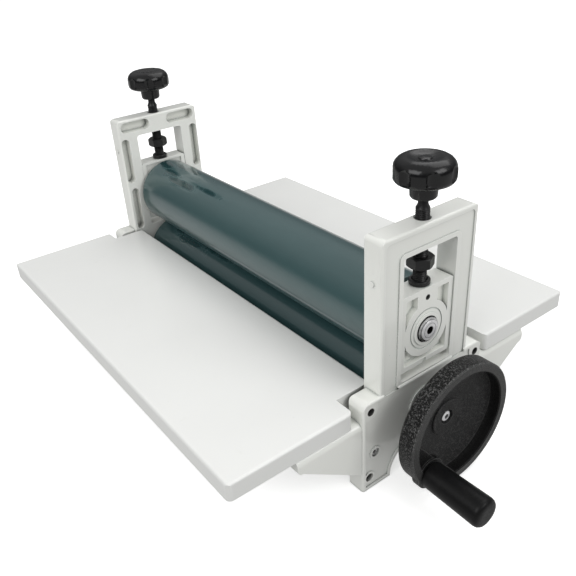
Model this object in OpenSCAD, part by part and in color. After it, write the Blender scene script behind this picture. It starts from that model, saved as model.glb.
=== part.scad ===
// Tabletop cold roll laminator: two cast end frames, two rubber-covered rollers,
// a pair of pressure screws, a dished handwheel and two tables that fold up.
// +X runs along the rollers towards the handwheel, -Y is the feed side, +Z is up.
// The origin is on the ground under the middle of the whole outline. Sizes are in mm.

/* [Overall] */
// Clear width between the inner faces of the two end frames
face_gap = 370; // [300:1:640]
// Width of one leg of an end frame beside its window
leg_w = 20.4; // [14:0.1:30]
// Depth of the bar over each window
top_bar_h = 18.8; // [14:0.1:28]
// How far each foot lug reaches past the upright
lug_reach = 17.2; // [14:0.1:24]

/* [Rollers] */
// Diameter over the rubber sleeves
roller_d = 66.4; // [50:0.1:84]
// Length of the rubber sleeves
sleeve_l = 360; // [290:1:620]
// Wall of the rubber sleeves
sleeve_t = 6; // [3:0.5:10]
// Gap left at the nip when the rollers are closed
nip_gap = 0.3; // [0.3:0.1:3]
// Diameter of the roller journals
shaft_d = 16; // [12:0.1:20]

/* [Pressure screws] */
// Lift of the upper roller from closed to fully open
lift = 9; // [6:0.5:20]
// Major diameter of the pressure screws
screw_d = 10; // [8:0.1:12]
// Thread pitch of the pressure screws
pitch = 1.5; // [1:0.25:2]
// Diameter of the lobed knobs
knob_d = 42.2; // [32:0.1:52]
// Number of flutes round each knob
knob_flutes = 7; // [5:1:10]

/* [Handwheel] */
// Outside diameter of the handwheel
wheel_d = 103; // [86:0.5:124]
// Width of the handwheel rim
rim_w = 14.5; // [10:0.5:20]
// Distance of the grip from the wheel axis
grip_offset = 41; // [34:0.5:49]
// Length of the turning grip
grip_l = 50; // [40:1:65]
// Diameter of the grip at its outer end
grip_d = 23.4; // [18:0.1:28]

/* [Tables] */
// Depth of each table from its inner to its outer edge
table_depth = 137.9; // [110:0.1:170]
// Overall height of the table pans
table_t = 15; // [12:0.5:20]
// Sheet thickness of the table pans
skin = 1.6; // [1:0.1:2.5]
// How far the brackets reach out from the middle of the machine
bracket_reach = 122; // [100:0.5:150]

/* [Fits] */
// Radial clearance of shafts and pins that turn in a bore
run_fit = 0.05; // [0.02:0.01:0.1]
// Side clearance of the bearing blocks in their windows
slide_fit = 0.3; // [0.2:0.05:0.6]

/* [Hidden] */
$fn = 96;

// heights
roller_r = roller_d / 2;
shaft_r = shaft_d / 2;
lower_z = roller_r + 20.4;
upper_z = lower_z + roller_d + nip_gap;
table_top = lower_z + roller_r - 5.1;
table_bot = table_top - table_t;
lug_top = table_top + 1.6;
pivot_z = table_top - 6.9;
tie_z = lower_z - 20.2;

// bearing blocks and the windows they slide in
block_hw = 26;
boss_r = shaft_r + 14.3;
block_bot = upper_z - 29.3;
block_top = upper_z + 34.2;
bush_r = shaft_r + 2.5;
win_hw = block_hw + slide_fit;
win_bot = block_bot - 6.5;
nut_h = 0.82 * screw_d;
nut_rise = 13.8;
stack_h = nut_rise + nut_h;
win_top = block_top + stack_h + lift + 0.5;
frame_h = win_top + top_bar_h;

// end frames, measured outwards from the middle of the machine
x_in = face_gap / 2;
x_up = x_in + 17.8;
x_base = x_in + 18.8;
x_lug = x_in + 2.5;
lip = 1;
lip_w = 3.6;
edge_r = 2;
up_hw = win_hw + leg_w;
base_hw = up_hw + lug_reach;
pivot_y = base_hw - 7.6;
pivot_r = 3;
tie_y = base_hw - 12.8;
low_screw_y = base_hw - 6.8;
arch_hw = base_hw - 28.4;
arch_h = 25;
screw_x = x_in + 7.8;
screw_r = screw_d / 2;
pilot_r = screw_r - 1;

// rollers
core_r = roller_r - sleeve_t;
shoulder_r = shaft_r + 5;
flange_x = x_base + 2;

// handwheel
rim_r = wheel_d / 2;
wheel_back = x_base + 22.2;
wheel_front = wheel_back + rim_w;
hub_back = flange_x + 0.7;
hub_face = wheel_back + 0.6;
hub_r = shaft_r - 2;
grip_a = 220;
grip_y = grip_offset * cos(grip_a);
grip_z = lower_z + grip_offset * sin(grip_a);
grip_x = wheel_front + 0.5;
grip_r = grip_d / 2;
pin_r = 4;

// tables and brackets
table_in = roller_r + 5.5;
table_out = table_in + table_depth;
table_x = x_in + 16.8;
notch_x = x_in - 1.3;
notch_y = base_hw + 7.6;
bracket_x = x_in + 17.5;
sweep = sqrt(pow(pivot_y - table_in, 2) + pow(table_t - 6.9, 2));
tongue_top = min(tie_z + 10, pivot_z - sweep - 2);

// middle of the whole outline along X
x_mid = (grip_x + grip_l - screw_x - knob_d / 2) / 2;

paint = [0.90, 0.91, 0.89];
steel = [0.75, 0.76, 0.78];
black = [0.06, 0.06, 0.07];
green = [0.10, 0.24, 0.24];

// profile in Y and Z, carried from x0 to x1
module across(x0, x1) translate([x0, 0, 0]) rotate([90, 0, 90]) linear_extrude(x1 - x0) children();
// profile in X and Z, carried from y0 to y1
module along(y0, y1) translate([0, y1, 0]) rotate([90, 0, 0]) linear_extrude(y1 - y0) children();
// rod parallel to X
module xrod(r, x0, x1, y = 0, z = 0) translate([x0, y, z]) rotate([0, 90, 0]) cylinder(r = r, h = x1 - x0);
// turned shape about an axis parallel to X, points given as [radius, x]
module xturn(pts, y = 0, z = 0) translate([0, y, z]) rotate([0, 90, 0]) rotate_extrude() polygon(pts);
module flip() mirror([1, 0, 0]) children();
module placed() translate([-x_mid, 0, 0]) children();
module both() { children(); flip() children(); }
module four() both() { children(); mirror([0, 1, 0]) children(); }
// rectangle with round corners
module rrect(x0, y0, x1, y1, r) {
  translate([x0 + r, y0]) square([x1 - x0 - 2 * r, y1 - y0]);
  translate([x0, y0 + r]) square([x1 - x0, y1 - y0 - 2 * r]);
  for (x = [x0 + r, x1 - r], y = [y0 + r, y1 - r]) translate([x, y]) circle(r);
}
// rectangle with only its two upper corners round
module trect(x0, y0, x1, y1, r) {
  rrect(x0, y0, x1, y1, r);
  translate([x0, y0]) square([x1 - x0, r + 1]);
}
module arch(grow) {
  r = arch_h + grow;
  for (q = [-1, 1]) translate([q * (arch_hw - arch_h), 0]) circle(r);
  translate([-arch_hw + arch_h, -r]) square([2 * (arch_hw - arch_h), 2 * r]);
}

// ---------------------------------------------------------------- end frame
// Cast plate with a raised lip that follows the outline, the window and the foot
// arch, a flat panel sunk between them, screw bosses on the lugs and cored
// pockets on the inner face.
module frame_panel() {
  difference() {
    union() {
      rrect(-up_hw + lip_w, win_bot - 12, up_hw - lip_w, frame_h - lip_w, 3.5);
      difference() {
        translate([-base_hw + 3, 3]) square([2 * base_hw - 6, lug_top - 6]);
        for (s = [-1, 1]) {
          translate([s * pivot_y, pivot_z]) circle(6.6);
          translate([s * (pivot_y + 10), pivot_z]) square([20, 13.2], center = true);
          translate([s * pivot_y, pivot_z + 10]) square([13.2, 20], center = true);
        }
      }
    }
    rrect(-win_hw - lip_w, win_bot - 4, win_hw + lip_w, win_top + lip_w, 4.5);
    arch(3);
    translate([0, lower_z]) circle(shaft_r + 8);
    for (s = [-1, 1]) {
      translate([s * tie_y, tie_z]) circle(5.2);
      translate([s * low_screw_y, 11.7]) circle(5.2);
    }
  }
}
module pocket(y0, z0, y1, z1) {
  r = min(y1 - y0, z1 - z0) / 2;
  for (q = [[y0 + r, z0 + r], [y1 - r, z1 - r]]) translate(q) circle(r);
  if (y1 - y0 > z1 - z0) translate([y0 + r, z0]) square([y1 - y0 - 2 * r, 2 * r]);
  else translate([y0, z0 + r]) square([2 * r, z1 - z0 - 2 * r]);
}
// plate from x0 to x1 with its long edges rounded on both faces
module casting(x0, x1, hw, h, r) intersection() {
  across(x0, x1) trect(-hw, 0, hw, h, r);
  along(-hw - 1, hw + 1) trect(x0, 0, x1, h, edge_r);
  linear_extrude(h + 1) rrect(x0, -hw, x1, hw, edge_r);
}
module end_frame() color(paint) difference() {
  union() {
    casting(x_in, x_up, up_hw, frame_h, 5);
    casting(x_in, x_base, up_hw, lug_top - 1, 0.5);
    casting(x_lug, x_base, base_hw, lug_top, 7.5);
    for (s = [-1, 1]) translate([x_in + 9, s * (up_hw - 0.3), frame_h - 33]) rotate([s * -90, 0, 0]) cylinder(r = 2, h = 1.3);
  }
  across(x_up - lip, x_base + 1) intersection() {
    frame_panel();
    translate([-base_hw, lug_top - 3]) square([2 * base_hw, frame_h]);
  }
  across(x_base - lip, x_base + 1) intersection() {
    frame_panel();
    translate([-base_hw, 0]) square([2 * base_hw, lug_top]);
  }
  across(x_in - 1, x_base + 1) rrect(-win_hw, win_bot, win_hw, win_top, 3);
  across(x_in - 1, x_base + 1) arch(0);
  xrod(shaft_r + 3, x_in - 1, x_base + 1, 0, lower_z);
  translate([screw_x, 0, win_top - 1]) cylinder(r = screw_r + run_fit, h = top_bar_h + 2);
  translate([screw_x, 0, frame_h - 1]) cylinder(r1 = screw_r, r2 = screw_r + 1.2, h = 1.01);
  // cored pockets on the inner face
  across(x_in - 1, x_in + 9) for (s = [0, 1]) mirror([s, 0]) {
    pocket(10, win_top + 5.2, up_hw - 3.6, frame_h - 2.8);
    pocket(win_hw + 9.8, win_top - 49, up_hw - 1.6, win_top - 1.2);
    pocket(win_hw + 8.6, win_top - 103, up_hw - 3.8, win_top - 55.5);
  }
  for (s = [-1, 1]) {
    xrod(pivot_r, x_in - 1, x_base + 1, s * pivot_y, pivot_z);
    for (q = [[tie_y, tie_z, 4.5], [low_screw_y, 11.7, 6.5]]) {
      xrod(2.2, x_in - 1, x_base + 1, s * q[0], q[1]);
      xrod(3.75, x_base - q[2], x_base + 1, s * q[0], q[1]);
    }
  }
}
module end_frame_right() placed() end_frame();
module end_frame_left() placed() flip() end_frame();

// ---------------------------------------------------------------- ties and brackets
module tie_rod(s) color(steel) difference() {
  xrod(7, -x_lug + 4.7, x_lug - 4.7, s * tie_y, tie_z);
  for (m = [0, 1]) mirror([m, 0, 0]) xrod(1.99, x_lug - 20, x_lug, s * tie_y, tie_z);
}
module front_tie_rod() placed() tie_rod(-1);
module rear_tie_rod() placed() tie_rod(1);
module cap_screw(head_in, len, y, z) difference() {
  union() {
    xrod(3.5, x_base - head_in - 0.01, x_base - head_in + 3, y, z);
    xrod(1.99, x_base - head_in - len, x_base - head_in, y, z);
  }
  translate([x_base - head_in + 1, y, z]) rotate([0, 90, 0]) cylinder(r = 1.75, h = 3, $fn = 6);
}
module tie_rod_screws() placed() color(steel) four() cap_screw(4.5, 28, tie_y, tie_z);
module bracket_screws() placed() color(steel) four() cap_screw(6.5, 14.5, low_screw_y, 11.7);

module bracket() color(paint) {
  difference() {
    intersection() {
      across(x_in, bracket_x) difference() {
        union() {
          polygon([[base_hw, 17.3], [base_hw, table_bot - 0.05], [bracket_reach, table_bot - 0.05],
                   [bracket_reach, table_bot - 9], [bracket_reach - 3.5, table_bot - 12]]);
          translate([bracket_reach - 4, table_bot - 8.6]) circle(4);
        }
      }
      along(0, bracket_reach + 5) {
        trect(x_in - 10, 0, bracket_x, table_bot - 0.05, 6);
        translate([x_in - 10, 0]) square([20, table_bot - 0.05]);
      }
    }
    across(x_in - 1, bracket_x - 3.5) polygon([[base_hw + 9, 27], [base_hw + 9, table_bot - 4],
      [bracket_reach - 4, table_bot - 4], [bracket_reach - 4, table_bot - 8.6]]);
  }
  // tongue that lies behind the lug and takes both screws
  difference() {
    union() {
      across(x_lug - 4.6, x_lug - 0.1) translate([up_hw + 0.4, 5]) square([lug_reach - 1, tongue_top - 5]);
      across(x_lug - 4.6, x_lug - 0.1) translate([up_hw + 0.4, 24]) square([lug_reach + 8, tongue_top - 24]);
    }
    xrod(2.2, x_in - 9, x_base, tie_y, tie_z);
    xrod(1.99, x_in - 9, x_base, low_screw_y, 11.7);
  }
}
module front_right_bracket() placed() mirror([0, 1, 0]) bracket();
module front_left_bracket() placed() flip() mirror([0, 1, 0]) bracket();
module rear_right_bracket() placed() bracket();
module rear_left_bracket() placed() flip() bracket();

module hinge_pins() placed() color(steel) four() xrod(pivot_r, notch_x - 4.6, x_base - 7, pivot_y, pivot_z);

// ---------------------------------------------------------------- tables
// Sheet pan with bent-down walls, notched round the lugs, with a hinge boss
// behind each notch wall.
module table_plan(i) {
  rrect(-table_x + i, notch_y + i, table_x - i, table_out - i, 4 - i);
  rrect(-notch_x + i, table_in + i, notch_x - i, notch_y + 20, 2.2 - i);
}
module table() color(paint) difference() {
  union() {
    difference() {
      intersection() {
        translate([0, 0, table_bot]) linear_extrude(table_t) table_plan(0);
        across(-table_x - 1, table_x + 1) trect(table_in, table_bot, table_out, table_top, 2.4);
        along(table_in - 1, table_out + 1) trect(-table_x, table_bot, table_x, table_top, 2.4);
      }
      translate([0, 0, table_bot - 1]) linear_extrude(table_t - skin + 1) table_plan(skin);
    }
    both() xrod(6.5, notch_x - 4.5, notch_x - 0.5, pivot_y, pivot_z);
  }
  both() xrod(pivot_r + run_fit, notch_x - 8, notch_x + 1, pivot_y, pivot_z);
}
module rear_table() placed() table();
module front_table() placed() mirror([0, 1, 0]) table();

// ---------------------------------------------------------------- rollers
module ring(r_in, r_out, x0, x1, z) difference() {
  xrod(r_out, x0, x1, 0, z);
  xrod(r_in, x0 - 1, x1 + 1, 0, z);
}
module core(z) color(steel) difference() {
  union() {
    xrod(core_r, -sleeve_l / 2, sleeve_l / 2, 0, z);
    xrod(shoulder_r, -x_in + 0.6, x_in - 0.6, 0, z);
  }
  xrod(core_r - 4, -sleeve_l / 2 + 14, sleeve_l / 2 - 14, 0, z);
  xrod(shaft_r, -x_in - 1, x_in + 1, 0, z);
}
module sleeve(z) color(green) difference() {
  xrod(roller_r, -sleeve_l / 2, sleeve_l / 2, 0, z);
  xrod(core_r, -sleeve_l, sleeve_l, 0, z);
}
// open spring ring, its gap turned down towards the rear
module snap_ring(x0, z) color(steel) difference() {
  ring(shaft_r - 0.9, shaft_r + 1.7, x0, x0 + 1, z);
  translate([x0 - 1, 0, z]) rotate([-40, 0, 0]) translate([0, 0, -1.6]) cube([3, shaft_r + 4, 3.2]);
}
module lower_core() placed() core(lower_z);
module upper_core() placed() core(upper_z);
module lower_sleeve() placed() sleeve(lower_z);
module upper_sleeve() placed() sleeve(upper_z);
module lower_shaft() placed() color(steel) difference() {
  union() {
    xrod(shaft_r, -flange_x - 3.6, hub_back, 0, lower_z);
    xrod(hub_r, hub_back - 1, wheel_back - 7, 0, lower_z);
  }
  ring(shaft_r - 0.9, shaft_r + 3, -flange_x - 1.5, -flange_x - 0.5, lower_z);
  xrod(2.2, -flange_x - 4, -flange_x + 2, 0, lower_z);
  xrod(3, wheel_back - 22, wheel_back, 0, lower_z);
  translate([hub_back + 1.5, -2, lower_z + hub_r - 2.2]) cube([10, 4, 6]);
}
module lower_retaining_ring() placed() snap_ring(-flange_x - 1.5, lower_z);
module upper_shaft() placed() color(steel) difference() {
  xrod(shaft_r, -x_in - 20.3, x_in + 20.3, 0, upper_z);
  both() {
    ring(shaft_r - 0.9, shaft_r + 3, x_in + 18, x_in + 19, upper_z);
    xrod(2.4, x_in + 15, x_in + 21, 0, upper_z);
    xturn([[0, x_in + 18.4], [2.4, x_in + 19.4], [4, x_in + 21], [0, x_in + 21]], 0, upper_z);
  }
}
module upper_retaining_rings() placed() { snap_ring(x_in + 18, upper_z); snap_ring(-x_in - 19, upper_z); }
module lower_bearings() placed() color(black) both() difference() {
  union() {
    xrod(shaft_r + 3, x_in, flange_x, 0, lower_z);
    xrod(shaft_r + 6, x_base, flange_x, 0, lower_z);
  }
  xrod(shaft_r + run_fit, x_in - 1, flange_x + 1, 0, lower_z);
}

// ---------------------------------------------------------------- bearing blocks
// Sliding block: rim, central web with the grub screw, grooved boss with a
// raised collar, corner pockets and a split bottom ledge.
module bearing_block() color(paint) difference() {
  union() {
    across(x_in + 0.4, x_in + 16.5) rrect(-block_hw, block_bot, block_hw, block_top, 2);
    ring(bush_r, bush_r + 2.4, x_in + 16, x_in + 17.5, upper_z);
  }
  across(x_in + 11.5, x_in + 18) difference() {
    rrect(-block_hw + 4.4, block_bot + 4, block_hw - 4.4, block_top - 4, 1);
    translate([-9.9, upper_z]) square([19.8, 60]);
    translate([0, upper_z]) circle(boss_r);
  }
  ring(bush_r + 5, bush_r + 6.2, x_in + 15.7, x_in + 18, upper_z);
  translate([x_in + 15, -1.8, block_bot - 1]) cube([3, 3.6, 4.2]);
  across(x_in - 1, x_in + 2.2) difference() {
    rrect(-block_hw + 4.3, block_bot + 4.3, block_hw - 4.3, block_top - 2.6, 1);
    translate([0, upper_z]) circle(shoulder_r + 2);
  }
  xrod(bush_r, x_in - 1, x_in + 20, 0, upper_z);
  translate([screw_x, 0, block_top - 15.5]) cylinder(r = pilot_r + run_fit, h = 20);
  xrod(2, screw_x, x_in + 20, 0, block_top - 8.1);
}
module bearing_block_right() placed() bearing_block();
module bearing_block_left() placed() flip() bearing_block();
module block_bushings() placed() color(black) both() difference() {
  xrod(bush_r, x_in + 0.4, x_in + 17.5, 0, upper_z);
  xrod(shaft_r + run_fit, x_in - 1, x_in + 20, 0, upper_z);
}
module block_grub_screws() placed() color(steel) both() difference() {
  union() {
    xrod(2, screw_x + pilot_r + 0.4, x_in + 14, 0, block_top - 8.1);
    xrod(1.3, screw_x + pilot_r - 0.7, x_in + 14, 0, block_top - 8.1);
  }
  translate([x_in + 12.4, 0, block_top - 8.1]) rotate([0, 90, 0]) cylinder(r = 1, h = 3, $fn = 6);
}

// ---------------------------------------------------------------- pressure screws
foot_z = block_top + 0.05;
nut_z = block_top + nut_rise;
thread_top = frame_h + 7.2;
neck_z = frame_h + 14.7;
head_z = neck_z + 10.8;
teeth = floor((thread_top - foot_z - 3) / pitch);
tooth = 0.44 * pitch;
module pressure_screw() color(black) translate([screw_x, 0, 0]) rotate_extrude() polygon(concat(
  [[0, block_top - 15], [pilot_r - 0.6, block_top - 15], [pilot_r, block_top - 14.4], [pilot_r, block_top - 9.9],
   [pilot_r - 1.1, block_top - 9.9], [pilot_r - 1.1, block_top - 6.3], [pilot_r, block_top - 6.3],
   [pilot_r, foot_z + 1.5], [screw_r, foot_z + 1.5]],
  [for (i = [0:teeth - 1], q = [0, 1, 2, 3])
    [q == 0 || q == 3 ? screw_r : screw_r - 0.62,
     thread_top - (teeth - i) * pitch + [0, tooth, pitch - tooth, pitch - 0.15][q]]],
  [[screw_r, thread_top], [pilot_r - 0.45, thread_top + 3], [pilot_r - 0.45, head_z + 8], [0, head_z + 8]]));
module screw_foot() color(black) translate([screw_x, 0, 0]) rotate_extrude() polygon([
  [pilot_r, foot_z], [screw_r + 2.3, foot_z], [screw_r + 2.75, foot_z + 0.5], [screw_r + 2.75, foot_z + 3.3],
  [screw_r + 2.1, foot_z + 3.9], [screw_r + 0.9, foot_z + 3.9], [screw_r + 0.4, foot_z + 3.3],
  [screw_r + 0.4, foot_z + 1.5], [pilot_r, foot_z + 1.5]]);
module jam_nut() color(black) translate([screw_x, 0, nut_z]) difference() {
  intersection() {
    rotate([0, 0, 54]) cylinder(r = screw_d, h = nut_h, $fn = 6);
    rotate_extrude() polygon([[0, 0], [0.84 * screw_d, 0], [1.01 * screw_d, 1.1],
      [1.01 * screw_d, nut_h - 1.1], [0.84 * screw_d, nut_h], [0, nut_h]]);
  }
  translate([0, 0, -1]) cylinder(r = screw_r, h = nut_h + 2);
}
// Lobed knob: domed rim, dished top with a centre button, flutes that stop
// short of the rims above and below, tapered neck.
module knob(phase) color(black) translate([screw_x, 0, head_z]) {
  r = knob_d / 2;
  difference() {
    rotate_extrude() polygon([
      [0, 12], [pilot_r - 0.45, 12], [pilot_r - 0.45, -10.8], [0.40 * r, -10.8], [0.44 * r, -9.6], [0.47 * r, -0.2],
      [0.84 * r, 0], [0.93 * r, 0.9], [0.985 * r, 2.6], [r, 4.6], [r, 9], [0.985 * r, 11.2], [0.94 * r, 13.4],
      [0.86 * r, 15.4], [0.75 * r, 16.8], [0.64 * r, 17.4], [0.54 * r, 17.2], [0.44 * r, 16.4],
      [0.26 * r, 15.6], [0.22 * r, 15.6], [0.2 * r, 16.3], [0.12 * r, 16.6], [0, 16.7]]);
    for (i = [0:knob_flutes - 1]) rotate([0, 0, phase + i * 360 / knob_flutes]) translate([1.187 * r, 0, 2.4])
      rotate_extrude() polygon([[0, 0], [0.26 * r, 0], [0.306 * r, 1], [0.306 * r, 8.2], [0.24 * r, 10.6], [0, 11.4]]);
  }
}
module pressure_screw_right() placed() pressure_screw();
module pressure_screw_left() placed() flip() pressure_screw();
module screw_foot_right() placed() screw_foot();
module screw_foot_left() placed() flip() screw_foot();
module jam_nut_right() placed() jam_nut();
module jam_nut_left() placed() flip() jam_nut();
module knob_right() placed() knob(-32.4);
module knob_left() placed() flip() knob(205);

// ---------------------------------------------------------------- handwheel
module handwheel() placed() color(black) difference() {
  union() {
    xturn([[rim_r - 7.5, wheel_back], [rim_r - 0.9, wheel_back], [rim_r, wheel_back + 0.9], [rim_r, wheel_front - 0.9],
           [rim_r - 0.9, wheel_front], [rim_r - 6.6, wheel_front], [rim_r - 7.4, wheel_front - 0.8],
           [rim_r - 7.8, wheel_back + 5], [16, wheel_back - 1.4], [16, wheel_back - 5.4],
           [rim_r - 8.5, wheel_back + 0.6]], 0, lower_z);
    xturn([[0, hub_back], [shaft_r + 5, hub_back], [shaft_r + 6.2, hub_back + 1.2], [shaft_r + 9, wheel_back - 5.4],
           [16.2, wheel_back - 5.4], [16.2, wheel_back - 1.2], [15, wheel_back - 1.2], [15, hub_face - 0.4],
           [14.6, hub_face], [0, hub_face]], 0, lower_z);
    intersection() {
      xrod(rim_r - 7, wheel_back, wheel_front - 1.6, 0, lower_z);
      translate([wheel_back - 2, 0, lower_z]) rotate([grip_a, 0, 0]) translate([0, rim_r - 21.3, -rim_r])
        cube([rim_w + 2, rim_r, 2 * rim_r]);
    }
    xrod(grip_r + 0.9, wheel_back + 8, wheel_front - 0.1, grip_y, grip_z);
  }
  xrod(hub_r, hub_back - 1, wheel_back - 6.5, 0, lower_z);
  xrod(3.1, hub_back, hub_face + 1, 0, lower_z);
  xrod(6.2, wheel_back - 4.6, hub_face + 1, 0, lower_z);
  translate([hub_back - 0.5, -2, lower_z]) cube([12.5, 4, hub_r + 2]);
  xrod(pin_r, wheel_back - 1, wheel_front + 1, grip_y, grip_z);
}
module wheel_key() placed() color(steel) translate([hub_back + 1.6, -1.95, lower_z + hub_r - 2.2]) cube([9.8, 3.9, 4.1]);
module wheel_screw() placed() color(steel) difference() {
  union() {
    xrod(2.99, wheel_back - 20, wheel_back - 4, 0, lower_z);
    xturn([[0, wheel_back - 4.6], [4.9, wheel_back - 4.6], [4.9, wheel_back - 1.8], [4.2, wheel_back - 0.6], [2.6, wheel_back],
           [0, wheel_back]], 0, lower_z);
  }
  translate([wheel_back - 2.4, 0, lower_z]) rotate([0, 90, 0]) cylinder(r = 2.3, h = 5, $fn = 6);
}
module grip_pin() placed() color(steel) xturn([[0, wheel_back + 1], [pin_r, wheel_back + 1], [pin_r, grip_x + 33], [pin_r + 0.9, grip_x + 33.4],
  [pin_r + 0.9, grip_x + 35], [pin_r - 0.6, grip_x + 37.5], [0, grip_x + 37.5]], grip_y, grip_z);
module grip() placed() color(black) difference() {
  xturn([[0, grip_x], [grip_r - 1.6, grip_x], [grip_r - 1.1, grip_x + 0.6], [grip_r - 0.1, grip_x + grip_l - 4.4],
         [grip_r - 0.5, grip_x + grip_l - 2.4], [grip_r - 1.7, grip_x + grip_l - 0.9], [grip_r - 3.6, grip_x + grip_l - 0.2],
         [grip_r - 6, grip_x + grip_l], [0, grip_x + grip_l]], grip_y, grip_z);
  xrod(pin_r + run_fit, grip_x - 1, grip_x + 33, grip_y, grip_z);
  xrod(pin_r + 1.2, grip_x + 32.8, grip_x + 38, grip_y, grip_z);
}

end_frame_right();
end_frame_left();
front_tie_rod();
rear_tie_rod();
tie_rod_screws();
front_right_bracket();
front_left_bracket();
rear_right_bracket();
rear_left_bracket();
bracket_screws();
hinge_pins();
lower_bearings();
front_table();
rear_table();
lower_shaft();
lower_core();
lower_sleeve();
lower_retaining_ring();
handwheel();
wheel_key();
wheel_screw();
grip_pin();
grip();
bearing_block_right();
bearing_block_left();
block_bushings();
block_grub_screws();
upper_shaft();
upper_core();
upper_sleeve();
upper_retaining_rings();
pressure_screw_right();
screw_foot_right();
jam_nut_right();
knob_right();
pressure_screw_left();
screw_foot_left();
jam_nut_left();
knob_left();
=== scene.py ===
import math

import bpy
from mathutils import Matrix, Vector


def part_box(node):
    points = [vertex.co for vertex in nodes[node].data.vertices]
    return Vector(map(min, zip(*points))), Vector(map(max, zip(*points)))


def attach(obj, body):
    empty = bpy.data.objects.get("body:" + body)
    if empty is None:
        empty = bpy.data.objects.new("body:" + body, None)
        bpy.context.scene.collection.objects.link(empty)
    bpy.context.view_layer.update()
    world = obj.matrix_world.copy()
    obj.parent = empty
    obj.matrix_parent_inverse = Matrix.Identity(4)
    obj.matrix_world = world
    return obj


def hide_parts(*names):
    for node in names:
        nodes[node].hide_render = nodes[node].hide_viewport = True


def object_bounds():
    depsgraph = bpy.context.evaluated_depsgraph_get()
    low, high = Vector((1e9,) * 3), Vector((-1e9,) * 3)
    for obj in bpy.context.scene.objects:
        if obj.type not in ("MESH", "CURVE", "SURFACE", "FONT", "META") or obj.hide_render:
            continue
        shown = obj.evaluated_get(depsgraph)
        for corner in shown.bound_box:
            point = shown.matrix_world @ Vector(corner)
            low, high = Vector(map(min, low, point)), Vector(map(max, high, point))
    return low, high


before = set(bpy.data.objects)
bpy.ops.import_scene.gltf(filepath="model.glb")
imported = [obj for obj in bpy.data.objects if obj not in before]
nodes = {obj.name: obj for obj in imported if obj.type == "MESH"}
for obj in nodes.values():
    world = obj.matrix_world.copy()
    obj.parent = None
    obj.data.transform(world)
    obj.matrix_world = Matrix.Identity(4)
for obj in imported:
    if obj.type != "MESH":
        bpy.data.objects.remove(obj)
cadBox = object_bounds()
scene = bpy.context.scene
print("frame loaded,", len(nodes), "nodes")


def middle(node):
    low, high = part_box(node)
    return (low + high) / 2


sleeveLow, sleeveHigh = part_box("upper_sleeve")
upperAxis = middle("upper_sleeve")
lowerAxis = middle("lower_sleeve")
sleeveMiddle = (sleeveHigh.x + sleeveLow.x) / 2
groundZ = cadBox[0].z

cameraLook = {
    "place": (sleeveMiddle + 0.4731, -0.3152, 0.3928),
    "turn": 54.3258,  # degrees to the left of the feed direction
    "dip": 29.8352,
    "tilt": -3.595,
    "lens": 42.16,
    "sensor": 36,
    "clip": (0.02, 20),
}


def makeCamera(look):
    turn, dip, tilt = (math.radians(look[k]) for k in ("turn", "dip", "tilt"))
    ahead = Vector((-math.sin(turn) * math.cos(dip), math.cos(turn) * math.cos(dip), -math.sin(dip)))
    right = Vector((math.cos(turn), math.sin(turn), 0))
    up = right.cross(ahead)
    side = right * math.cos(tilt) + up * math.sin(tilt)
    top = up * math.cos(tilt) - right * math.sin(tilt)
    data = bpy.data.cameras.new("camera")
    data.sensor_width = look["sensor"]
    data.lens = look["lens"]
    data.clip_start, data.clip_end = look["clip"]
    camera = bpy.data.objects.new("camera", data)
    scene.collection.objects.link(camera)
    facing = Matrix((side, top, -ahead)).transposed().to_4x4()
    camera.matrix_world = Matrix.Translation(look["place"]) @ facing
    scene.camera = camera


makeCamera(cameraLook)

studio = {
    "soft": {"zenith": (1.0, 1.0, 1.0), "horizon": (0.80, 0.805, 0.81), "nadir": (0.62, 0.62, 0.61)},
    # what shiny surfaces see: bright above and below, dark round the sides
    "mirrored": {"zenith": (1.0, 1.0, 1.0), "horizon": (0.17, 0.175, 0.18), "nadir": (1.0, 1.0, 0.99)},
    "levels": {"nadir": 0.4, "horizon": 0.52, "zenith": 0.95},  # 0 straight down, 1 straight up
    "sky": 0.62,
    "overhead": {"place": (-0.1, 0.85, 1.5), "aim": (0, 0.1, 0.1), "size": (1.6, 1.2), "power": 8.0},
    "front": {"place": (0.2, -1.5, 1.2), "aim": (0, 0, 0.1), "size": (1.3, 0.9), "power": 11.5},
    "side": {"place": (1.5, 0.45, 1.15), "aim": (0, 0, 0.1), "size": (1.0, 0.8), "power": 9.0},
}

floorLook = {
    "colour": (0.93, 0.93, 0.925),
    "half": 6.0,
    "drop": 0.0002,  # keeps the floor just clear of the feet
    "roughness": 0.9,
    "specular": 0.1,
    "glow": 0.5,
}


def softbox(name, spec):
    data = bpy.data.lights.new(name, "AREA")
    data.shape = "RECTANGLE"
    data.size, data.size_y = spec["size"]
    data.energy = spec["power"]
    lamp = bpy.data.objects.new(name, data)
    scene.collection.objects.link(lamp)
    lamp.location = spec["place"]
    lamp.rotation_mode = "QUATERNION"
    lamp.rotation_quaternion = (Vector(spec["aim"]) - Vector(spec["place"])).to_track_quat("-Z", "Y")


def skyRamp(tree, height, colours, levels):
    ramp = tree.nodes.new("ShaderNodeValToRGB")
    ramp.color_ramp.interpolation = "EASE"
    stops = ramp.color_ramp.elements
    stops[0].position = levels["nadir"]
    stops[0].color = (*colours["nadir"], 1)
    stops[1].position = levels["zenith"]
    stops[1].color = (*colours["zenith"], 1)
    stops.new(levels["horizon"]).color = (*colours["horizon"], 1)
    tree.links.new(height, ramp.inputs["Fac"])
    return ramp.outputs["Color"]


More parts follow.
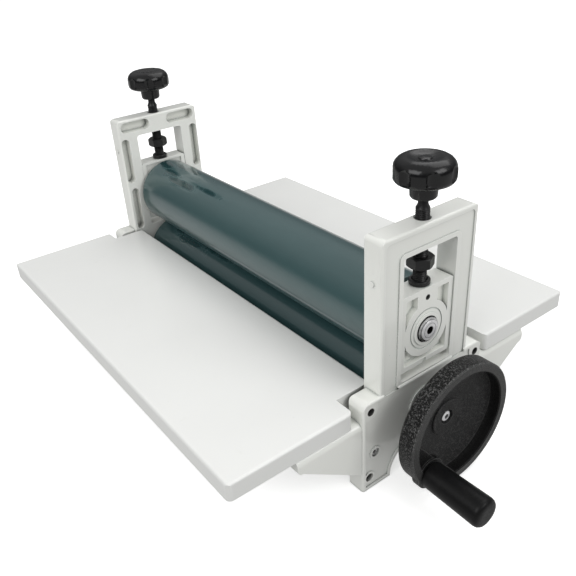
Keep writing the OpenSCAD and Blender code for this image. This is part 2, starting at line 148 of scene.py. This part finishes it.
def makeSky(look):
    world = bpy.data.worlds.new("studio")
    scene.world = world
    world.use_nodes = True
    tree = world.node_tree
    tree.nodes.clear()
    coords = tree.nodes.new("ShaderNodeTexCoord")
    split = tree.nodes.new("ShaderNodeSeparateXYZ")
    tree.links.new(coords.outputs["Generated"], split.inputs[0])
    height = tree.nodes.new("ShaderNodeMapRange")
    height.inputs["From Min"].default_value = -1
    height.inputs["From Max"].default_value = 1
    tree.links.new(split.outputs["Z"], height.inputs["Value"])
    path = tree.nodes.new("ShaderNodeLightPath")
    sky = tree.nodes.new("ShaderNodeMix")
    sky.data_type = "RGBA"
    tree.links.new(path.outputs["Is Glossy Ray"], sky.inputs[0])
    for spot, colours in ((6, look["soft"]), (7, look["mirrored"])):
        tree.links.new(skyRamp(tree, height.outputs["Result"], colours, look["levels"]), sky.inputs[spot])
    glow = tree.nodes.new("ShaderNodeBackground")
    glow.inputs["Strength"].default_value = look["sky"]
    tree.links.new(sky.outputs[2], glow.inputs["Color"])
    backdrop = tree.nodes.new("ShaderNodeBackground")
    backdrop.inputs["Color"].default_value = (1, 1, 1, 1)
    backdrop.inputs["Strength"].default_value = 1
    choose = tree.nodes.new("ShaderNodeMixShader")
    tree.links.new(path.outputs["Is Camera Ray"], choose.inputs[0])
    tree.links.new(glow.outputs[0], choose.inputs[1])
    tree.links.new(backdrop.outputs[0], choose.inputs[2])
    out = tree.nodes.new("ShaderNodeOutputWorld")
    tree.links.new(choose.outputs[0], out.inputs["Surface"])


def makeFloor(look):
    mesh = bpy.data.meshes.new("floor")
    half = look["half"]
    z = groundZ - look["drop"]
    corners = [(-half, -half, z), (half, -half, z), (half, half, z), (-half, half, z)]
    mesh.from_pydata(corners, [], [(0, 1, 2, 3)])
    floor = bpy.data.objects.new("floor", mesh)
    scene.collection.objects.link(floor)
    paper = bpy.data.materials.new("backdropPaper")
    paper.use_nodes = True
    shader = paper.node_tree.nodes["Principled BSDF"]
    shader.inputs["Base Color"].default_value = (*look["colour"], 1)
    shader.inputs["Roughness"].default_value = look["roughness"]
    shader.inputs["Specular IOR Level"].default_value = look["specular"]
    shader.inputs["Emission Color"].default_value = (1, 1, 1, 1)
    shader.inputs["Emission Strength"].default_value = look["glow"]
    mesh.materials.append(paper)
    floor.visible_diffuse = False
    floor.visible_glossy = False


makeSky(studio)
for lampName in ("overhead", "front", "side"):
    softbox(lampName + "Softbox", studio[lampName])
makeFloor(floorLook)
scene.view_settings.view_transform = "Standard"
print("camera and studio ready")

noiseSpan = (0.3, 0.7)  # most of a noise's values lie between these


def startMaterial(name):
    material = bpy.data.materials.new(name)
    material.use_nodes = True
    tree = material.node_tree
    shader = tree.nodes["Principled BSDF"]
    coords = tree.nodes.new("ShaderNodeTexCoord")
    return material, tree, shader, coords.outputs["Object"]


def addNoise(tree, where, scale, detail=3.0, roughness=0.5, stretch=None):
    if stretch:
        mapping = tree.nodes.new("ShaderNodeMapping")
        mapping.inputs["Scale"].default_value = stretch
        tree.links.new(where, mapping.inputs["Vector"])
        where = mapping.outputs[0]
    n = tree.nodes.new("ShaderNodeTexNoise")
    n.inputs["Scale"].default_value = scale
    n.inputs["Detail"].default_value = detail
    n.inputs["Roughness"].default_value = roughness
    tree.links.new(where, n.inputs["Vector"])
    return n.outputs["Fac"]


def fitRange(tree, value, low, high, toLow=0.0, toHigh=1.0):
    n = tree.nodes.new("ShaderNodeMapRange")
    n.inputs["From Min"].default_value = low
    n.inputs["From Max"].default_value = high
    n.inputs["To Min"].default_value = toLow
    n.inputs["To Max"].default_value = toHigh
    tree.links.new(value, n.inputs["Value"])
    return n.outputs["Result"]


def noiseLayer(tree, where, spec):
    noise = addNoise(tree, where, spec["scale"], spec["detail"], spec.get("rough", 0.5), spec.get("stretch"))
    return fitRange(tree, noise, *spec.get("span", noiseSpan), *spec["gives"])


def varyRoughness(tree, noise, look):
    below, above = look["uneven"]
    return fitRange(tree, noise, *noiseSpan, look["roughness"] - below, look["roughness"] + above)


def mixColour(tree, amount, first, second):
    n = tree.nodes.new("ShaderNodeMix")
    n.data_type = "RGBA"
    tree.links.new(amount, n.inputs[0])
    for value, spot in ((first, n.inputs[6]), (second, n.inputs[7])):
        if isinstance(value, tuple):
            spot.default_value = (*value, 1)
        else:
            tree.links.new(value, spot)
    return n.outputs[2]


def compute(tree, operation, first, second=0.0):
    n = tree.nodes.new("ShaderNodeMath")
    n.operation = operation
    for value, spot in ((first, n.inputs[0]), (second, n.inputs[1])):
        if isinstance(value, (int, float)):
            spot.default_value = value
        else:
            tree.links.new(value, spot)
    return n.outputs[0]


def square(tree, value):
    return compute(tree, "MULTIPLY", value, value)


def aboutAxis(tree, where, z, y=0.0):
    split = tree.nodes.new("ShaderNodeSeparateXYZ")
    tree.links.new(where, split.inputs[0])
    rise = compute(tree, "SUBTRACT", split.outputs["Z"], z)
    across = split.outputs["Y"]
    if y:  # one axis on each side of the middle
        across = compute(tree, "SUBTRACT", compute(tree, "ABSOLUTE", across), y)
    out = compute(tree, "SQRT", compute(tree, "ADD", square(tree, across), square(tree, rise)))
    around = compute(tree, "ARCTAN2", compute(tree, "MULTIPLY", across, -1), rise)
    return {"along": split.outputs["X"], "out": out, "around": around}


def addBump(tree, height, depth, strength=1.0, under=None):
    n = tree.nodes.new("ShaderNodeBump")
    n.inputs["Strength"].default_value = strength
    n.inputs["Distance"].default_value = depth
    tree.links.new(height, n.inputs["Height"])
    if under is not None:
        tree.links.new(under, n.inputs["Normal"])
    return n.outputs[0]


# mask of rounded edges, for painting highlights along them
def addEdgeHighlight(tree, width, amount):
    bevel = tree.nodes.new("ShaderNodeBevel")
    bevel.samples = 6
    bevel.inputs["Radius"].default_value = width
    geometry = tree.nodes.new("ShaderNodeNewGeometry")
    facing = tree.nodes.new("ShaderNodeVectorMath")
    facing.operation = "DOT_PRODUCT"
    tree.links.new(bevel.outputs[0], facing.inputs[0])
    tree.links.new(geometry.outputs["Normal"], facing.inputs[1])
    turned = fitRange(tree, facing.outputs["Value"], 0.99, 0.86, 0, 1)  # cosines of the rounded normal's turn
    return compute(tree, "MULTIPLY", turned, amount)


def addCrevice(tree, distance):
    n = tree.nodes.new("ShaderNodeAmbientOcclusion")
    n.samples = 6
    n.inputs["Distance"].default_value = distance
    return n.outputs["AO"]


pinLow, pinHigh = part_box("hinge_pins")
pinRadius = (pinHigh.z - pinLow.z) / 2
grubLow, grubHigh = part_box("block_grub_screws")
grubRadius = (grubHigh.z - grubLow.z) / 2

castPaint = {
    "colour": (0.865, 0.875, 0.83),
    # edge: painted highlight colour for rounded edges
    "edge": (0.97, 0.975, 0.945),
    # colour of the paint specks, also used as painted shade in crevices
    "grimeAndCreviceShade": (0.50, 0.55, 0.51),
    "smudge": (0.60, 0.60, 0.55),
    # painted shade colour for holes, screw wells and joints
    "recessShade": (0.05, 0.05, 0.047),
    "shade": 0.955,
    "clouds": {"scale": 14, "detail": 4, "span": (0.35, 0.7), "gives": (0, 0.35)},
    "scuffs": {"scale": 46, "detail": 8, "rough": 0.62, "stretch": (1, 1, 0.45), "span": (0.665, 0.74),
               "gives": (0, 0.28)},
    "specks": {"scale": 420, "detail": 2, "span": (0.76, 0.8), "gives": (0, 0.45)},
    "edgeWidth": 0.0011,
    "edgeAmount": 0.85,
    "creviceWidth": 0.0022,
    "creviceSpan": (0.4, 0.9),
    "creviceAmount": 0.8,
    "wellWidth": 0.0075,
    "wellAmount": 0.95,
    "reach": (0.24, 0.54),  # how closed in a spot is before it goes dark
    # holes painted dark as painted shade: side offset, height, radius
    "bores": [(pinHigh.y - pinRadius, middle("hinge_pins").z, pinRadius)],
    "boreAmount": 0.94,
    "boreRim": (0.0004, 0.0001),
    "roughness": 0.34,
    "uneven": (0.05, 0.07),
    "peel": 850,
    "peelDepth": 0.00003,
    "peelStrength": 0.7,
    "cast": 90,
    "castDepth": 0.00022,
    "castStrength": 0.6,
    "coat": 0.9,
    "coatRoughness": 0.13,
}

# the blocks are the same enamel; their painted recess shade starts only in deeper spots, so the open pockets
# stay grey, and the grub screw's hole is painted dark as shade
blockPaint = dict(castPaint, reach=(0.02, 0.26), recessShade=(0.06, 0.065, 0.06),
                  bores=[(0.0, middle("block_grub_screws").z, grubRadius)])

# the tables are smoother and a little duller
# their edge colour is a painted highlight, and their darker crevice and recess colours are painted shade
tablePaint = dict(castPaint, colour=(0.82, 0.825, 0.805), edge=(0.94, 0.945, 0.93), grimeAndCreviceShade=(0.56, 0.58, 0.55),
                  smudge=(0.70, 0.70, 0.66), recessShade=(0.10, 0.10, 0.095), reach=(0.15, 0.45), bores=[],
                  roughness=0.38, peel=1100, peelDepth=0.000018, cast=9, castDepth=0.0002, coat=0.45)


def paintFinish(name, look):
    material, tree, shader, where = startMaterial(name)
    shaded = tuple(c * look["shade"] for c in look["colour"])
    colour = mixColour(tree, noiseLayer(tree, where, look["clouds"]), look["colour"], shaded)
    # a few scuffs and casting marks
    colour = mixColour(tree, noiseLayer(tree, where, look["scuffs"]), colour, look["smudge"])
    colour = mixColour(tree, noiseLayer(tree, where, look["specks"]), colour, look["grimeAndCreviceShade"])
    # painted highlight: the colour turns paler along rounded edges, where they would catch the light
    colour = mixColour(tree, addEdgeHighlight(tree, look["edgeWidth"], look["edgeAmount"]), colour, look["edge"])
    # painted shade: ambient occlusion darkens inside corners and small steps
    creviceShade = addCrevice(tree, look["creviceWidth"])
    creviceShade = fitRange(tree, creviceShade, *look["creviceSpan"], look["creviceAmount"], 0)
    colour = mixColour(tree, creviceShade, colour, look["grimeAndCreviceShade"])
    # painted shade: screw wells and the joints between castings go nearly black where ambient occlusion finds
    # them deep
    deep = fitRange(tree, addCrevice(tree, look["wellWidth"]), *look["reach"], look["wellAmount"], 0)
    colour = mixColour(tree, deep, colour, look["recessShade"])
    outer, inner = look["boreRim"]
    # painted shade: a dark disc painted over each listed hole
    for y, z, radius in look["bores"]:
        out = aboutAxis(tree, where, z, y)["out"]
        within = fitRange(tree, out, radius + outer, radius + inner, 0, look["boreAmount"])
        colour = mixColour(tree, within, colour, look["recessShade"])
    tree.links.new(colour, shader.inputs["Base Color"])
    tree.links.new(varyRoughness(tree, addNoise(tree, where, 60, 5), look), shader.inputs["Roughness"])
    lumps = addBump(tree, addNoise(tree, where, look["cast"], 3), look["castDepth"], look["castStrength"])
    peel = addNoise(tree, where, look["peel"], 2)
    peel = addBump(tree, peel, look["peelDepth"], look["peelStrength"], lumps)
    tree.links.new(peel, shader.inputs["Normal"])
    shader.inputs["Coat Weight"].default_value = look["coat"]
    shader.inputs["Coat Roughness"].default_value = look["coatRoughness"]
    return material


plainSteel = {
    "uneven": (0.06, 0.12),
    "stretch": (1, 1, 1),
    "streaks": 900,
    "streakDepth": 0.00002,
    "streakStrength": 0.5,
    "stain": {"scale": 130, "detail": 5, "rough": 0.6, "span": (0.45, 0.75), "gives": (0, 0.8)},
    # painted shade: crevices and holes in the steel are darkened by ambient occlusion
    "hollow": 0.95,  # how dark the crevices go
    "hollowColour": (0.03, 0.03, 0.03),
    "hollowWidth": 0.004,
    "hollowSpan": (0.25, 0.75),
}

steelLooks = {
    "groundSteel": dict(plainSteel, colour=(0.70, 0.70, 0.70), dark=(0.42, 0.42, 0.42), roughness=0.24,
                        metal=1.0, stretch=(0.05, 1, 1)),
    "zincSteel": dict(plainSteel, colour=(0.62, 0.62, 0.62), dark=(0.40, 0.40, 0.40), roughness=0.34,
                      metal=0.6, hollow=0.3),
    "coreSteel": dict(plainSteel, colour=(0.48, 0.48, 0.48), dark=(0.22, 0.21, 0.20), roughness=0.4,
                      metal=1.0, stretch=(1, 0.2, 0.2)),
    "brightSteel": dict(plainSteel, colour=(0.86, 0.86, 0.87), dark=(0.62, 0.62, 0.63), roughness=0.3,
                        metal=0.55),
    "shaftSteel": dict(plainSteel, colour=(0.88, 0.88, 0.89), dark=(0.60, 0.60, 0.61), roughness=0.3,
                       metal=0.5),
}

# marks painted on the ends of the upper shaft, as distances from its axis: the centre hole near black as
# painted shade, and a dark ring near the edge
shaftEnd = {
    "bore": 0.0033,
    "boreBlend": 0.0003,
    "boreColour": (0.012, 0.012, 0.012),
    "ring": 0.0058,
    "ringBlend": (0.00035, 0.0001),
    "ringColour": (0.10, 0.10, 0.10),
    "ringAmount": 0.75,
}


def steelFinish(name, look, marks=None):
    material, tree, shader, where = startMaterial(name)
    shader.inputs["Metallic"].default_value = look["metal"]
    streaks = addNoise(tree, where, look["streaks"], 4, 0.6, look["stretch"])
    rough = varyRoughness(tree, streaks, look)
    colour = mixColour(tree, noiseLayer(tree, where, look["stain"]), look["colour"], look["dark"])
    # painted shade: ambient occlusion darkens crevices and holes
    creviceShade = fitRange(tree, addCrevice(tree, look["hollowWidth"]), *look["hollowSpan"], look["hollow"], 0)
    colour = mixColour(tree, creviceShade, colour, look["hollowColour"])
    if marks:
        # painted shade: the centre hole goes near black, matte and fully metallic, and a dark ring is painted
        # round the end
        out = aboutAxis(tree, where, upperAxis.z)["out"]
        within = fitRange(tree, out, marks["bore"], marks["bore"] - marks["boreBlend"], 0, 1)
        colour = mixColour(tree, within, colour, marks["boreColour"])
        ring = compute(tree, "ABSOLUTE", compute(tree, "SUBTRACT", out, marks["ring"]))
        ring = fitRange(tree, ring, *marks["ringBlend"], 0, marks["ringAmount"])
        colour = mixColour(tree, ring, colour, marks["ringColour"])
        rough = compute(tree, "MAXIMUM", rough, within)
        tree.links.new(compute(tree, "MAXIMUM", within, look["metal"]), shader.inputs["Metallic"])
    tree.links.new(colour, shader.inputs["Base Color"])
    tree.links.new(rough, shader.inputs["Roughness"])
    scratches = addBump(tree, streaks, look["streakDepth"], look["streakStrength"])
    tree.links.new(scratches, shader.inputs["Normal"])
    return material


blackLooks = {
    "blackScrew": {"colour": (0.006, 0.006, 0.0065), "worn": (0.03, 0.03, 0.03), "wear": 0.5,
                   "roughness": 0.34, "specular": 0.4, "grain": 1500, "depth": 0.00002},
    "bearingBlack": {"colour": (0.010, 0.010, 0.011), "worn": (0.03, 0.03, 0.03), "wear": 0.3,
                     "roughness": 0.45, "specular": 0.3, "grain": 900, "depth": 0.00001},
    "sunkBlack": {"colour": (0.005, 0.005, 0.005), "worn": (0.02, 0.02, 0.02), "wear": 0.3,
                  "roughness": 0.6, "specular": 0.12, "grain": 900, "depth": 0.00001},
    "knobBlack": {"colour": (0.003, 0.003, 0.0035), "worn": (0.010, 0.010, 0.010), "wear": 0.3,
                  "roughness": 0.2, "specular": 0.42, "grain": 260, "depth": 0.00003},
    "gripBlack": {"colour": (0.003, 0.003, 0.0033), "worn": (0.014, 0.0135, 0.013), "wear": 0.4,
                  "roughness": 0.4, "specular": 0.2, "grain": 700, "depth": 0.00003},
}
blackUneven = (0.06, 0.08)
grainStrength = 0.6


def blackFinish(name, look):
    material, tree, shader, where = startMaterial(name)
    rubbed = {"scale": 75, "detail": 5, "rough": 0.6, "span": (0.5, 0.8), "gives": (0, look["wear"])}
    colour = mixColour(tree, noiseLayer(tree, where, rubbed), look["colour"], look["worn"])
    tree.links.new(colour, shader.inputs["Base Color"])
    grain = addNoise(tree, where, look["grain"], 3)
    tree.links.new(varyRoughness(tree, grain, dict(look, uneven=blackUneven)), shader.inputs["Roughness"])
    tree.links.new(addBump(tree, grain, look["depth"], grainStrength), shader.inputs["Normal"])
    shader.inputs["Specular IOR Level"].default_value = look["specular"]
    return material


wheelLook = {
    "colour": (0.0035, 0.0035, 0.0035),
    "speck": (0.34, 0.34, 0.335),
    # painted light: the front face's web and lip get lighter colours than the rim, as if lit
    "web": (0.020, 0.020, 0.020),
    "lip": (0.050, 0.050, 0.049),
    # edge: painted highlight colour along the wheel's rounded edges
    "edge": (0.20, 0.20, 0.198),
    "edgeWidth": 0.0007,
    "edgeAmount": 0.6,
    "crinkle": 820,
    "wander": 640,
    "ridge": 0.07,
    "patches": (0.45, 0.56),
    "depth": 0.00045,
    "strength": 0.7,
    "roughness": 0.42,
    "uneven": (0.08, 0.14),
    "specular": 0.22,
    "lipWidth": 0.0068,
    # how speckled each zone is
    "rimSpeck": 0.55,
    "webSpeck": 0.30,
    "lipSpeck": 0.16,
    # where each zone starts and is full, from the lip's inner edge, the front face or the rim
    "lipSpan": (-0.0002, 0.0002),
    "faceSpan": (0.0012, 0.0006),
    "webSpan": (0.0008, 0.0014),
    "sunkSpan": (0.004, 0.006),
    "rimSpan": (0.0009, 0.0004),
}


def crinkleFinish(name, look):
    material, tree, shader, where = startMaterial(name)
    low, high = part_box("handwheel")
    rim = (high.z - low.z) / 2
    inner = rim - look["lipWidth"]
    wheel = aboutAxis(tree, where, lowerAxis.z)

    def zone(value, base, span):
        return fitRange(tree, value, base - span[0], base - span[1], 0, 1)

    face = zone(wheel["along"], high.x, look["faceSpan"])
    lip = fitRange(tree, wheel["out"], inner + look["lipSpan"][0], inner + look["lipSpan"][1], 0, 1)
    lip = compute(tree, "MULTIPLY", face, lip)
    sunk = zone(wheel["along"], high.x, look["sunkSpan"])
    web = compute(tree, "MULTIPLY", zone(wheel["out"], inner, look["webSpan"]), sunk)
    rimFace = zone(wheel["out"], rim, look["rimSpan"])
    # painted light: web and lip of the front face painted lighter than the rim and bore
    colour = mixColour(tree, web, look["colour"], look["web"])
    colour = mixColour(tree, lip, colour, look["lip"])
    # wrinkle enamel: short pale ridges on black, sparse in the sheltered bore of the rim
    wander = addNoise(tree, where, look["wander"], 2)
    ridges = compute(tree, "SUBTRACT", addNoise(tree, where, look["crinkle"], 2.0, 0.6), 0.5)
    ridges = fitRange(tree, compute(tree, "ABSOLUTE", ridges), 0.0, look["ridge"], 1, 0)
    speck = compute(tree, "MULTIPLY", ridges, fitRange(tree, wander, *look["patches"]))
    amount = compute(tree, "ADD", compute(tree, "MULTIPLY", rimFace, look["rimSpeck"]),
                     compute(tree, "MULTIPLY", web, look["webSpeck"]))
    amount = compute(tree, "ADD", amount, compute(tree, "MULTIPLY", lip, look["lipSpeck"]))
    colour = mixColour(tree, compute(tree, "MULTIPLY", speck, amount), colour, look["speck"])
    # painted highlight: pale lines along rounded edges
    colour = mixColour(tree, addEdgeHighlight(tree, look["edgeWidth"], look["edgeAmount"]), colour, look["edge"])
    tree.links.new(colour, shader.inputs["Base Color"])
    tree.links.new(varyRoughness(tree, wander, look), shader.inputs["Roughness"])
    tree.links.new(addBump(tree, ridges, look["depth"], look["strength"]), shader.inputs["Normal"])
    shader.inputs["Specular IOR Level"].default_value = look["specular"]
    return material


rubberLook = {
    "rubber": (0.007, 0.030, 0.033),
    "hazed": (0.042, 0.092, 0.095),
    # painted shade: the lower roller gets a darker copy of the film's haze colour
    "lowerShadedHaze": (0.026, 0.064, 0.067),
    "streak": (0.085, 0.15, 0.155),
    "streakAmount": 0.16,
    "roughness": 0.28,
    "wetRoughness": 0.14,
    "wetSpan": (0.5, 0.16),
    "paleSpan": (0.9, 0.5),
    "wetHaze": 0.35,
    "fine": {"scale": 150, "detail": 4, "rough": 0.6, "stretch": (0.3, 1, 1), "gives": (0.9, 1.0)},
    "clouds": {"scale": 17, "detail": 3, "stretch": (0.35, 1, 1), "gives": (0.84, 1.0)},
    "wobble": {"scale": 60, "detail": 3, "gives": (-0.5, 0.5)},
    "ripple": 210,
    "rippleDepth": 0.0002,
    "rippleStrength": 0.3,
    "coat": 0.7,
    "coatRoughness": 0.08,
    # wrinkles at the plain end: metres from that end, degrees round from the top, length, width in degrees
    "wrinkles": [
        (0.112, 22, 0.038, 8), (0.062, 31, 0.042, 11), (0.006, 9, 0.030, 14), (0.050, -6, 0.036, 11),
        (0.034, 20, 0.020, 9), (0.060, 150, 0.044, 10), (0.024, 210, 0.038, 12), (0.090, 250, 0.036, 8),
        (0.028, 290, 0.030, 11), (0.070, 320, 0.036, 9),
    ],
}


def nearestWrinkle(tree, where, axisZ, look):
    roller = aboutAxis(tree, where, axisZ)
    wobble = noiseLayer(tree, where, look["wobble"])
    cling = None
    for start, turn, length, width in look["wrinkles"]:
        half = compute(tree, "MULTIPLY", compute(tree, "SUBTRACT", roller["around"], math.radians(turn)), 0.5)
        across = compute(tree, "MULTIPLY", compute(tree, "SINE", half), 2 / math.radians(width))
        run = compute(tree, "DIVIDE", compute(tree, "SUBTRACT", roller["along"], sleeveLow.x + start), length)
        run = compute(tree, "ADD", run, wobble)
        spread = compute(tree, "ADD", square(tree, across), square(tree, run))
        cling = spread if cling is None else compute(tree, "MINIMUM", cling, spread)
    return cling


def rubberFinish(name, look, axisZ, hazed):
    material, tree, shader, where = startMaterial(name)
    cling = nearestWrinkle(tree, where, axisZ, look)
    # the film clings inside a wrinkle, and lies pale round it
    wet = fitRange(tree, cling, *look["wetSpan"])
    pale = compute(tree, "SUBTRACT", fitRange(tree, cling, *look["paleSpan"]), wet)
    haze = compute(tree, "MULTIPLY", noiseLayer(tree, where, look["fine"]),
                   fitRange(tree, wet, 0, 1, 1, look["wetHaze"]))
    haze = compute(tree, "MULTIPLY", haze, noiseLayer(tree, where, look["clouds"]))
    colour = mixColour(tree, haze, look["rubber"], hazed)
    colour = mixColour(tree, fitRange(tree, pale, 0, 1, 0, look["streakAmount"]), colour, look["streak"])
    tree.links.new(colour, shader.inputs["Base Color"])
    rough = fitRange(tree, wet, 0, 1, look["roughness"], look["wetRoughness"])
    tree.links.new(rough, shader.inputs["Roughness"])
    ripples = addNoise(tree, where, look["ripple"], 4, 0.65, (0.25, 1, 1))
    ripples = addBump(tree, ripples, look["rippleDepth"], look["rippleStrength"])
    tree.links.new(ripples, shader.inputs["Normal"])
    shader.inputs["Coat Weight"].default_value = look["coat"]
    shader.inputs["Coat Roughness"].default_value = look["coatRoughness"]
    return material


finishes = {
    "castPaint": paintFinish("castPaint", castPaint),
    "tablePaint": paintFinish("tablePaint", tablePaint),
    "blockPaint": paintFinish("blockPaint", blockPaint),
    "wheelBlack": crinkleFinish("wheelBlack", wheelLook),
    "upperRubber": rubberFinish("upperRubber", rubberLook, upperAxis.z, rubberLook["hazed"]),
    "lowerRubber": rubberFinish("lowerRubber", rubberLook, lowerAxis.z, rubberLook["lowerShadedHaze"]),
}
for steelName, steelLook in steelLooks.items():
    endMarks = shaftEnd if steelName == "shaftSteel" else None
    finishes[steelName] = steelFinish(steelName, steelLook, endMarks)
for blackName, blackLook in blackLooks.items():
    finishes[blackName] = blackFinish(blackName, blackLook)
print("finishes ready")

# node: finish, edge rounding in metres
dressing = {
    "front_tie_rod": ("groundSteel", 0.0004),
    "rear_tie_rod": ("groundSteel", 0.0004),
    "tie_rod_screws": ("zincSteel", 0.0002),
    "bracket_screws": ("sunkBlack", 0.0002),
    "front_right_bracket": ("castPaint", 0.0008),
    "front_left_bracket": ("castPaint", 0.0008),
    "rear_right_bracket": ("castPaint", 0.0008),
    "rear_left_bracket": ("castPaint", 0.0008),
    "hinge_pins": ("sunkBlack", 0.0002),
    "lower_bearings": ("bearingBlack", 0.0003),
    "front_table": ("tablePaint", 0.0005),
    "rear_table": ("tablePaint", 0.0005),
    "lower_shaft": ("groundSteel", 0.0003),
    "lower_core": ("coreSteel", 0.0003),
    "lower_sleeve": ("lowerRubber", 0.0005),
    "lower_retaining_ring": ("zincSteel", 0.0001),
    "handwheel": ("wheelBlack", 0.0004),
    "wheel_key": ("groundSteel", 0.0002),
    "wheel_screw": ("brightSteel", 0.0002),
    "grip_pin": ("groundSteel", 0.0002),
    "grip": ("gripBlack", 0.0003),
    "block_bushings": ("bearingBlack", 0.0002),
    "block_grub_screws": ("sunkBlack", 0.0001),
    "upper_shaft": ("shaftSteel", 0.0002),
    "upper_core": ("coreSteel", 0.0003),
    "upper_sleeve": ("upperRubber", 0.0005),
    "upper_retaining_rings": ("groundSteel", 0.0001),
}
# and the same for the nodes with a twin at the other end
pairedDressing = {
    "end_frame": ("castPaint", 0.00035),
    "bearing_block": ("blockPaint", 0.0005),
    "pressure_screw": ("blackScrew", 0.0001),
    "screw_foot": ("blackScrew", 0.0002),
    "jam_nut": ("blackScrew", 0.0003),
    "knob": ("knobBlack", 0.0005),
}
for pairName, pairLook in pairedDressing.items():
    dressing[pairName + "_right"] = pairLook
    dressing[pairName + "_left"] = pairLook

weldDistance = 0.000002
rounding = {
    "flatAngle": 0.6,  # faces flatter than this many degrees to each other become one
    "sharpAngle": 32,
    "segments": 3,
    "faceWeight": 60,
}


def addWeld(piece):
    weld = piece.modifiers.new("weld", "WELD")
    weld.merge_threshold = weldDistance


def softenEdges(piece, width, look):
    addWeld(piece)
    flat = piece.modifiers.new("flat", "DECIMATE")
    flat.decimate_type = "DISSOLVE"
    flat.angle_limit = math.radians(look["flatAngle"])
    bevel = piece.modifiers.new("bevel", "BEVEL")
    bevel.width = width
    bevel.segments = look["segments"]
    bevel.limit_method = "ANGLE"
    bevel.angle_limit = math.radians(look["sharpAngle"])
    bevel.use_clamp_overlap = True
    bevel.harden_normals = False
    shine = piece.modifiers.new("normals", "WEIGHTED_NORMAL")
    shine.keep_sharp = False
    shine.weight = look["faceWeight"]


for nodeName, (finishName, edge) in dressing.items():
    node = nodes[nodeName]
    node.data.materials.clear()
    node.data.materials.append(finishes[finishName])
    softenEdges(node, edge, rounding)
print("nodes dressed")

# pressure screws with a real helical thread
threadLook = {
    "pitch": 0.0015,
    "depth": 0.00062,
    "halfGroove": 0.42,  # as a share of the pitch
    "flank": 1.2,
    "steps": 8,  # rings in one pitch
    "around": 40,
    "runOut": 0.0012,
    "pilotStep": 0.001,  # the plain tip is this much thinner, as a radius
    "footRim": 0.0015,
    "start": 0.0004,
    "tip": 0.0006,
    "grubGroove": (0.01145, 0.00785),  # below the thread, where the grub screw's point runs
    "grubDepth": 0.0011,
    "belowKnob": 0.0075,
    "taper": 0.003,
    "neckStep": 0.00045,
    "sharpAngle": 38,
}


def threadRadius(z, angle, bottom, top, radius, look):
    phase = ((z - bottom) / look["pitch"] - angle / (2 * math.pi)) % 1
    groove = 1 - min(1, abs(phase - 0.5) / look["halfGroove"])
    fade = min(1, (z - bottom) / look["runOut"], (top - z) / look["runOut"])
    return radius - look["depth"] * max(0, fade) * min(1, look["flank"] * groove)


def makeThreadedScrew(side, look):
    node = "pressure_screw_" + side
    low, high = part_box(node)
    centreX = (low.x + high.x) / 2
    radius = (high.x - low.x) / 2
    pilot = radius - look["pilotStep"]
    neck = pilot - look["neckStep"]
    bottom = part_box("screw_foot_" + side)[0].z + look["footRim"]
    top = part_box("knob_" + side)[0].z - look["belowKnob"]
    grooveLow, grooveHigh = (bottom - drop for drop in look["grubGroove"])
    grooved = pilot - look["grubDepth"]
    lower = [(0.0, low.z), (pilot - look["tip"], low.z), (pilot, low.z + look["tip"]), (pilot, grooveLow),
             (grooved, grooveLow), (grooved, grooveHigh), (pilot, grooveHigh), (pilot, bottom),
             (radius - look["start"], bottom)]
    upper = [(radius, top), (neck, top + look["taper"]), (neck, high.z), (0.0, high.z)]
    count = int((top - bottom) / look["pitch"] * look["steps"])
    rings = [(r, z, False) for r, z in lower]
    rings += [(radius, bottom + (top - bottom) * (i + 0.5) / count, True) for i in range(count)]
    rings += [(r, z, False) for r, z in upper]
    around = look["around"]
    points = []
    for r, z, threaded in rings:
        for step in range(around):
            angle = 2 * math.pi * step / around
            reach = threadRadius(z, angle, bottom, top, radius, look) if threaded else r
            points.append((centreX + reach * math.cos(angle), reach * math.sin(angle), z))
    faces = []
    for ring in range(len(rings) - 1):
        base = ring * around
        for step in range(around):
            after = (step + 1) % around
            faces.append((base + step, base + after, base + around + after, base + around + step))
    name = "threaded_screw_" + side
    mesh = bpy.data.meshes.new(name)
    mesh.from_pydata(points, [], faces)
    screw = bpy.data.objects.new(name, mesh)
    scene.collection.objects.link(screw)
    addWeld(screw)
    mesh.shade_smooth()
    mesh.set_sharp_from_angle(angle=math.radians(look["sharpAngle"]))
    mesh.materials.append(finishes["blackScrew"])
    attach(screw, side + "_screw")
    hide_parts(node)


for screwSide in ("right", "left"):
    makeThreadedScrew(screwSide, threadLook)
print("threaded screws made")
